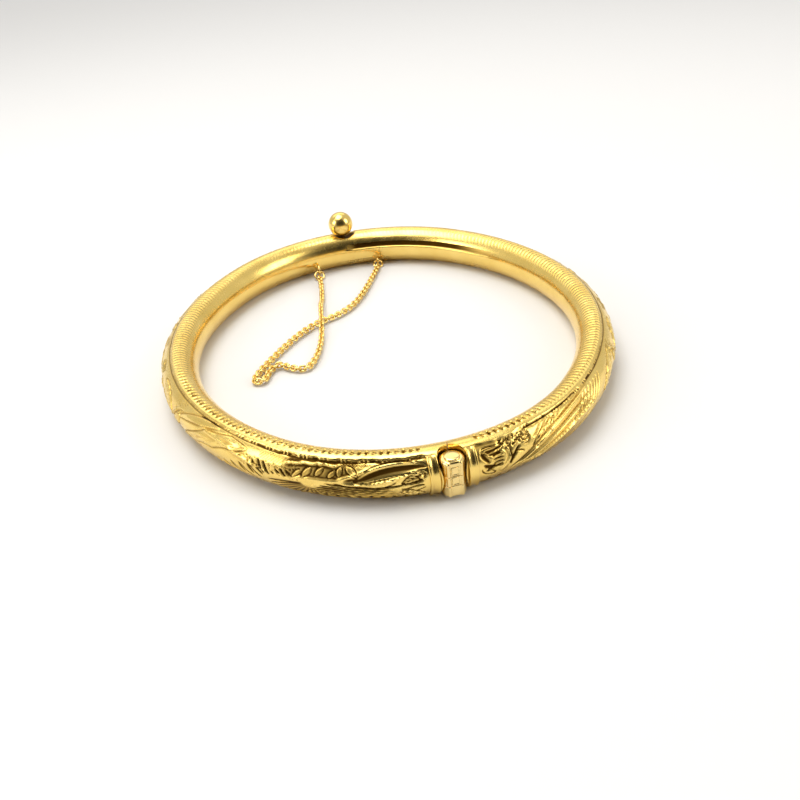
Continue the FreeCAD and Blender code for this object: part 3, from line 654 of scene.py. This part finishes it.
def gold(name, bright, deep, rough, grain, scratches):
    """Yellow gold: slow colour drift, handled gloss, hollows darkened by patina and painted shade, fine grain
    and scratches.
    """
    material = bpy.data.materials.new(name)
    material.use_nodes = True
    nodes, links = material.node_tree.nodes, material.node_tree.links
    shader = nodes["Principled BSDF"]
    shader.inputs["Metallic"].default_value = 1.0
    place = nodes.new("ShaderNodeTexCoord").outputs["Object"]
    drift = value_noise(nodes, links, place, 260.0, 3.0)
    colour = ramp(nodes, links, drift, [(0.3, (*deep, 1)), (0.7, (*bright, 1))])
    handled = value_noise(nodes, links, place, 700.0, 5.0, 0.65)
    gloss = between(nodes, links, handled, rough * 0.6, rough * 1.5)
    hollow = nodes.new("ShaderNodeAttribute")
    hollow.attribute_name = "cavity"
    # patina and painted shade: the colour is darkened where the cavity attribute is high
    shade = ramp(nodes, links, hollow.outputs["Fac"],
                 [(0.0, (1, 1, 1, 1)), (0.3, (0.80, 0.74, 0.62, 1)), (0.95, (*PATINA_AND_SHADE, 1))])
    mix = nodes.new("ShaderNodeMix")
    mix.data_type = "RGBA"
    mix.blend_type = "MULTIPLY"
    mix.inputs["Factor"].default_value = 1.0
    links.new(colour, mix.inputs["A"])
    links.new(shade, mix.inputs["B"])
    dull = between(nodes, links, hollow.outputs["Fac"], 0.0, PATINA_DULL)
    total = nodes.new("ShaderNodeMath")
    total.operation = "ADD"
    links.new(gloss, total.inputs[0])
    links.new(dull, total.inputs[1])
    links.new(mix.outputs["Result"], shader.inputs["Base Color"])
    links.new(total.outputs["Value"], shader.inputs["Roughness"])
    fine = value_noise(nodes, links, place, 5200.0, 3.0, 0.6)
    stretch = nodes.new("ShaderNodeMapping")
    stretch.inputs["Scale"].default_value = (9000.0, 900.0, 2600.0)
    stretch.inputs["Rotation"].default_value = (0.3, 0.5, 0.9)
    links.new(place, stretch.inputs["Vector"])
    lines = nodes.new("ShaderNodeTexNoise")
    lines.inputs["Scale"].default_value = 1.0
    lines.inputs["Detail"].default_value = 2.0
    links.new(stretch.outputs["Vector"], lines.inputs["Vector"])
    rough_bump = nodes.new("ShaderNodeBump")
    rough_bump.inputs["Strength"].default_value = grain
    rough_bump.inputs["Distance"].default_value = 0.00003
    links.new(fine, rough_bump.inputs["Height"])
    line_bump = nodes.new("ShaderNodeBump")
    line_bump.inputs["Strength"].default_value = scratches
    line_bump.inputs["Distance"].default_value = 0.00002
    links.new(lines.outputs["Fac"], line_bump.inputs["Height"])
    links.new(rough_bump.outputs["Normal"], line_bump.inputs["Normal"])
    links.new(line_bump.outputs["Normal"], shader.inputs["Normal"])
    return material


CHASED = gold("chased_gold", (0.95, 0.70, 0.22), (0.85, 0.59, 0.15), 0.24, 0.25, 0.15)
POLISHED = gold("polished_gold", (0.95, 0.70, 0.22), (0.86, 0.60, 0.16), 0.20, 0.10, 0.25)
HINGE = gold("hinge_gold", (0.96, 0.76, 0.34), (0.88, 0.65, 0.25), 0.22, 0.15, 0.3)
CHAIN = gold("chain_gold", (0.95, 0.72, 0.26), (0.86, 0.60, 0.18), 0.18, 0.12, 0.1)

dress(shell(-1), CHASED, "gold_chased", "left_half", "left_shell")
dress(shell(1), CHASED, "gold_chased", "right_half", "right_shell")
dress(lining(-1), POLISHED, "gold_polished", "left_half", "left_lining")
dress(lining(1), POLISHED, "gold_polished", "right_half", "right_lining")


# ---------------------------------------------------------------- collars

COLLAR_ANGLE = 66


def collar(side, near_edge):
    """A plain band beside the hinge: low rim, smooth hollow, then a bright ridge."""
    node, body = ("left_collar", "left_half") if side < 0 else ("right_collar", "right_half")
    # distance from the band's near edge, and height over the tube
    profile = [(0.0, -0.10), (0.0, 0.02), (0.04, 0.07), (0.12, 0.08), (0.20, 0.03), (0.34, -0.005),
               (0.55, -0.01), (0.72, 0.02), (0.80, 0.10), (0.88, 0.155), (0.96, 0.155), (1.04, 0.10),
               (1.09, 0.0), (1.10, -0.10)]
    angle = np.linspace(-COLLAR_ANGLE, COLLAR_ANGLE, 96)
    across = np.array([spot for spot, _ in profile])
    raised = np.array([level for _, level in profile])
    target = near_edge + across
    reach = END_R + WIDE * np.cos(np.radians(angle))
    along = END_R * np.arcsin(target[None] / reach[:, None])
    ends = smooth(COLLAR_ANGLE, COLLAR_ANGLE - 5, np.abs(angle))[:, None]
    lift = np.where(raised > 0, raised * ends, raised)
    points = tube_points(along, angle[:, None], lift, 0.0, side)
    rows, columns = along.shape
    faces = grid_faces(rows, columns, round_columns=True)
    faces.append(tuple(range(columns)))
    faces.append(tuple((rows - 1) * columns + spot for spot in range(columns)))
    made = mend_normals(mesh_object(node + "_band", points.reshape(-1, 3), faces))
    dress(sharp_edges(made, 60), POLISHED, "gold_polished", body, node)


collar(-1, 1.55)
collar(1, 1.62)

# ---------------------------------------------------------------- hinge barrel

BARREL_R, BARREL_FLAT = 1.33, 1.06


def barrel_outline():
    """Section of the barrel: a round back, and in front two rounded ribs beside a flat strip."""
    outline = []
    for turn in np.radians(np.linspace(-45, 225, 72)):
        outline.append((BARREL_R * math.cos(turn), BARREL_R * math.sin(turn)))
    front = [(-0.93, -0.96), (-0.90, -1.04), (-0.84, -1.13), (-0.76, -1.185), (-0.68, -1.2), (-0.60, -1.18),
             (-0.55, -1.12), (-0.52, -1.075), (-0.47, -BARREL_FLAT)]
    outline += front + [(0.0, -BARREL_FLAT)] + [(-x, y) for x, y in reversed(front)]
    return np.array(outline)


def turned_block(name, outline, low, high, low_round, high_round):
    """An upright block of the barrel's section with rounded ends."""
    rows = []
    for step in range(5):
        turn = math.radians(22.5 * step)
        rows.append((low + low_round * (1 - math.sin(turn)), low_round * (1 - math.cos(turn))))
    for step in range(1, 6):
        level = low + low_round + (high - low - low_round - high_round) * step / 6
        rows.append((level, 0.0))
    for step in range(5):
        turn = math.radians(22.5 * (4 - step))
        rows.append((high - high_round * (1 - math.sin(turn)), high_round * (1 - math.cos(turn))))
    rows = sorted(rows, key=lambda row: (row[0], -row[1]))
    points = []
    for level, inset in rows:
        shrink = 1 - inset / BARREL_R
        points += [(x * shrink, AXIS_Y + y * shrink, level) for x, y in outline]
    count = len(outline)
    faces = grid_faces(len(rows), count, round_columns=True)
    faces.append(tuple(range(count)))
    faces.append(tuple((len(rows) - 1) * count + spot for spot in range(count)))
    return sharp_edges(mend_normals(mesh_object(name, points, faces)), 42)


def frame_lines(name, low, high, half):
    """A blank cartouche: a thin raised border standing on the barrel's flat front."""
    front = AXIS_Y - BARREL_FLAT
    border = 0.07
    outline = [(-half, low), (half, low), (half, high), (-half, high)]
    inner = [(-half + border, low + border), (half - border, low + border),
             (half - border, high - border), (-half + border, high - border)]
    points = []
    # the outer and inner rings, first sunk into the barrel and then proud of it
    for depth in (0.05, -0.055):
        for ring in (outline, inner):
            points += [(x, front + depth, z) for x, z in ring]
    faces = []
    for spot in range(4):
        after = (spot + 1) % 4
        faces.append((8 + spot, 8 + after, 12 + after, 12 + spot))
        faces.append((spot, after, 8 + after, 8 + spot))
        faces.append((4 + spot, 4 + after, 12 + after, 12 + spot))
        faces.append((spot, after, 4 + after, 4 + spot))
    return mend_normals(mesh_object(name, points, faces))


BARREL = barrel_outline()
knuckles = (("lower_knuckle", "left_half", 0.55, 1.90, 0.18, 0.05),
            ("middle_knuckle", "right_half", 1.94, 3.14, 0.05, 0.05),
            ("upper_knuckle", "left_half", 3.18, 4.95, 0.05, 0.34))
for node, body, low, high, low_round, high_round in knuckles:
    block = turned_block(node + "_block", BARREL, low, high, low_round, high_round)
    dress(block, HINGE, "gold_hinge", body, node)
for name, body, low, high in (("middle_cartouche", "right_half", 2.06, 3.02),
                              ("upper_cartouche", "left_half", 3.30, 4.30)):
    made = frame_lines(name, low, high, 0.40)
    made.data.materials.append(HINGE)
    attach(made, body)


def lathe(name, profile, centre, count=64):
    """A turned piece: profile of (radius, z) about an upright axis."""
    profile = np.array(profile)
    turn = np.linspace(0, 2 * np.pi, count, endpoint=False)
    x = centre[0] + profile[:, :1] * np.cos(turn)
    y = centre[1] + profile[:, :1] * np.sin(turn)
    z = np.repeat(profile[:, 1:], count, 1)
    points = np.stack([x, y, z], -1).reshape(-1, 3)
    faces = grid_faces(len(profile), count, round_columns=True)
    faces.append(tuple(range(count)))
    faces.append(tuple((len(profile) - 1) * count + spot for spot in range(count)))
    return sharp_edges(mend_normals(mesh_object(name, points, faces)), 50)


pin = [(0.06, 0.41), (0.52, 0.41), (0.66, 0.45), (0.70, 0.50), (0.70, 0.56), (0.49, 0.57), (0.49, 4.93),
       (0.84, 4.94), (0.86, 4.99), (0.86, 5.06), (0.82, 5.11), (0.70, 5.145), (0.40, 5.165), (0.05, 5.17)]
dress(lathe("hinge_pin_riveted", pin, (0, AXIS_Y)), HINGE, "gold_hinge", "left_half", "hinge_pin")

# ---------------------------------------------------------------- thumb ball

BALL_X, BALL_Y, BALL_Z = BALL_REST
NECK_RADIUS = 0.42
ball = [(0.31, 5.22), (0.38, 5.17)]
for step in range(47):
    turn = math.radians(-80.4 + step * (89.2 + 80.4) / 46)
    # a fine seam line round the middle
    here = BALL_RADIUS - 0.02 * math.exp(-(math.degrees(turn) / 1.6) ** 2)
    spot = (here * math.cos(turn), BALL_Z + here * math.sin(turn))
    if spot[0] > NECK_RADIUS or spot[1] > BALL_Z:
        ball.append(spot)
ball.append((0.004, BALL_Z + BALL_RADIUS))
dress(lathe("thumb_ball_turned", ball, (BALL_X, BALL_Y), 72), POLISHED, "gold_polished", "thumb_latch",
      "thumb_ball")

# ---------------------------------------------------------------- chain

# the chain's middle line, as in the CAD model: lying on the floor, and where it crosses itself
LYING, HUMP = 0.62, 1.95
CHAIN_ROUTE = [
    (-4.80, 26.80, LYING), (-5.20, 22.40, LYING), (-5.95, 17.60, LYING), (-6.60, 13.90, HUMP),
    (-7.10, 10.20, HUMP), (-7.80, 6.50, LYING), (-8.90, 2.30, LYING), (-10.90, -1.70, LYING),
    (-13.10, -0.60, LYING), (-14.60, 1.40, LYING), (-16.00, 0.00, LYING), (-17.00, -2.60, LYING),
    (-18.60, -2.00, LYING), (-17.00, 0.70, LYING), (-15.20, 3.20, LYING), (-12.90, 6.20, LYING),
    (-10.30, 9.10, LYING), (-7.60, 11.20, LYING), (-4.60, 12.30, LYING), (-1.90, 14.30, LYING),
    (0.30, 17.50, LYING), (2.20, 21.20, LYING), (3.80, 24.60, LYING), (5.05, 27.28, LYING),
]
BIGHT = np.array([-18.0, -2.1, LYING])
LINK_LONG, LINK_WIDE, LINK_WIRE, LINK_PITCH = 1.24, 1.0, 0.155, 0.62
# a link points along the line's direction over this distance either side of it
LINK_LEAN = 0.3
SIDES_OF_WIRE = 8


def spline_points(route):
    """Points of the smooth line that the route's NURBS spline makes, in millimetres."""
    curve = bpy.data.curves.new("chain_route", "CURVE")
    curve.dimensions = "3D"
    curve.resolution_u = 24
    spline = curve.splines.new("NURBS")
    spline.points.add(len(route) - 1)
    for point, place in zip(spline.points, route):
        point.co = (*(value * MM for value in place), 1)
    spline.order_u = 3
    spline.use_endpoint_u = True
    holder = bpy.data.objects.new("chain_route", curve)
    mesh = bpy.data.meshes.new_from_object(holder)
    line = np.array([tuple(vertex.co) for vertex in mesh.vertices]) / MM
    bpy.data.objects.remove(holder)
    bpy.data.curves.remove(curve)
    bpy.data.meshes.remove(mesh)
    return line


def link_ring():
    """Grid of points of one link: an oval of round wire in its own plane."""
    straight = (LINK_LONG - LINK_WIDE) / 2
    bend = LINK_WIDE / 2 - LINK_WIRE
    ring = []
    for side in (1, -1):
        for step in range(9):
            turn = math.radians(-90 + 22.5 * step) + (0 if side > 0 else math.pi)
            ring.append((side * straight + bend * math.cos(turn), bend * math.sin(turn), turn))
    return ring


def chain_piece(name, line):
    """Links along a line, each turned a quarter from the last, as one mesh."""
    steps = np.linalg.norm(np.diff(line, axis=0), axis=1)
    travel = np.concatenate([[0], np.cumsum(steps)])
    count = int(round(travel[-1] / LINK_PITCH))
    points, faces = [], []
    ring = link_ring()
    for index in range(count):
        here = (index + 0.5) * travel[-1] / count
        centre = np.array([np.interp(here, travel, line[:, axis]) for axis in range(3)])
        ahead = np.array([np.interp(here + LINK_LEAN, travel, line[:, axis]) for axis in range(3)])
        behind = np.array([np.interp(here - LINK_LEAN, travel, line[:, axis]) for axis in range(3)])
        forward = Vector(ahead - behind).normalized()
        sideways = Vector((0, 0, 1)).cross(forward).normalized()
        sway = random.uniform(-9, 9)
        turn = math.radians((38 if index % 2 else -52) + sway)
        flat = Matrix.Rotation(turn, 3, forward) @ sideways
        lift = forward.cross(flat)
        start = len(points)
        for along, across, out in ring:
            for spot in range(SIDES_OF_WIRE):
                angle = spot * 2 * math.pi / SIDES_OF_WIRE
                reach = LINK_WIRE * math.cos(angle)
                point = (Vector(centre) + forward * (along + reach * math.cos(out))
                         + flat * (across + reach * math.sin(out)) + lift * (LINK_WIRE * math.sin(angle)))
                points.append((point.x, point.y, max(point.z, 0.01)))
        faces += grid_faces(len(ring), SIDES_OF_WIRE, start, round_rows=True, round_columns=True)
    return mend_normals(mesh_object(name, points, faces)), travel[-1]


route_line = spline_points(CHAIN_ROUTE)
middle = int(np.linalg.norm(route_line - BIGHT, axis=1).argmin())
# two cords that meet at the bight
for name, ring, line, ends in (
        ("safety_chain_left", "left_jump_ring", route_line[:middle + 1], ("left_half", "right_half")),
        ("safety_chain_right", "right_jump_ring", route_line[middle:][::-1], ("right_half", "left_half"))):
    made, length = chain_piece(name, line)
    made.data.materials.append(CHAIN)
    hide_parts("safety_chain")
    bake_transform(made)

# ---------------------------------------------------------------- CAD nodes that stay

KEPT = {
    "mouth_plate": POLISHED, "tongue_plate": POLISHED, "tongue_base": POLISHED,
    "tongue_spring": POLISHED, "thumb_stem": POLISHED,
    "left_hinge_block": POLISHED, "right_hinge_block": POLISHED,
    "left_chain_eye": CHAIN, "right_chain_eye": CHAIN,
    "left_jump_ring": CHAIN, "right_jump_ring": CHAIN,
}
for node, material in KEPT.items():
    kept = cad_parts[node]
    kept.data.materials.clear()
    kept.data.materials.append(material)

# ---------------------------------------------------------------- floor, light and camera

FLOOR_REACH = 1.5
corners = [(-FLOOR_REACH, -FLOOR_REACH, 0), (FLOOR_REACH, -FLOOR_REACH, 0),
           (FLOOR_REACH, FLOOR_REACH, 0), (-FLOOR_REACH, FLOOR_REACH, 0)]
floor_mesh = bpy.data.meshes.new("floor")
floor_mesh.from_pydata(corners, [], [(0, 1, 2, 3)])
floor = bpy.data.objects.new("floor", floor_mesh)
scene.collection.objects.link(floor)
paper = bpy.data.materials.new("pale_paper")
paper.use_nodes = True
paper_shader = paper.node_tree.nodes["Principled BSDF"]
paper_shader.inputs["Base Color"].default_value = (0.76, 0.755, 0.745, 1)
paper_shader.inputs["Roughness"].default_value = 0.75
floor_mesh.materials.append(paper)


def area_light(name, place, aim, size, power, colour):
    """A rectangular studio light at `place`, facing `aim`."""
    data = bpy.data.lights.new(name, "AREA")
    data.shape = "RECTANGLE"
    data.size, data.size_y = size
    data.energy = power
    data.color = colour
    lamp = bpy.data.objects.new(name, data)
    scene.collection.objects.link(lamp)
    lamp.location = place
    lamp.rotation_euler = (Vector(aim) - Vector(place)).to_track_quat("-Z", "Y").to_euler()


area_light("top_light", (-0.05, 0.05, 0.32), (0, 0, 0), (0.26, 0.22), 0.78, (1.0, 0.985, 0.96))
area_light("left_light", (-0.40, -0.05, 0.20), (0, 0, 0), (0.16, 0.20), 0.5, (1.0, 0.98, 0.95))
area_light("right_light", (0.31, -0.14, 0.20), (0, 0, 0), (0.16, 0.22), 0.42, (1.0, 0.98, 0.95))
area_light("far_light", (0.0, 0.60, 0.50), (0.0, 0.55, 0.0), (0.9, 0.35), 1.1, (1.0, 0.99, 0.98))

world = bpy.data.worlds.new("studio")
scene.world = world
world.use_nodes = True
nodes, links = world.node_tree.nodes, world.node_tree.links
# the gold mirrors a pale room with a dark patch in front; the background itself is plain
sky = nodes["Background"]
towards = nodes.new("ShaderNodeTexCoord").outputs["Generated"]
facing = nodes.new("ShaderNodeVectorMath")
facing.operation = "DOT_PRODUCT"
facing.inputs[1].default_value = (-0.12, -0.90, 0.42)
links.new(towards, facing.inputs[0])
room = ramp(nodes, links, facing.outputs["Value"],
            [(0.0, (1.0, 0.99, 0.97, 1)), (0.62, (0.85, 0.83, 0.80, 1)),
             (0.80, (0.10, 0.09, 0.08, 1)), (1.0, (0.04, 0.04, 0.035, 1))])
links.new(room, sky.inputs["Color"])
sky.inputs["Strength"].default_value = 0.72
plain = nodes.new("ShaderNodeBackground")
plain.inputs["Color"].default_value = (0.93, 0.925, 0.915, 1)
seen = nodes.new("ShaderNodeLightPath").outputs["Is Camera Ray"]
either = nodes.new("ShaderNodeMixShader")
links.new(seen, either.inputs["Fac"])
links.new(sky.outputs["Background"], either.inputs[1])
links.new(plain.outputs["Background"], either.inputs[2])
links.new(either.outputs["Shader"], nodes["World Output"].inputs["Surface"])

lens = bpy.data.cameras.new("camera")
lens.lens = 40.06
lens.sensor_width = 36
lens.clip_start = 0.005
camera = bpy.data.objects.new("camera", lens)
scene.collection.objects.link(camera)
right = Vector((0.96772, -0.23451, -0.09233))
up = Vector((0.20263, 0.50614, 0.83831))
turned = Matrix((right, up, right.cross(up))).transposed().to_4x4()
camera.matrix_world = Matrix.Translation(Vector((-17.81, -105.31, 59.91)) * MM) @ turned
scene.camera = camera
scene.view_settings.view_transform = "Standard"
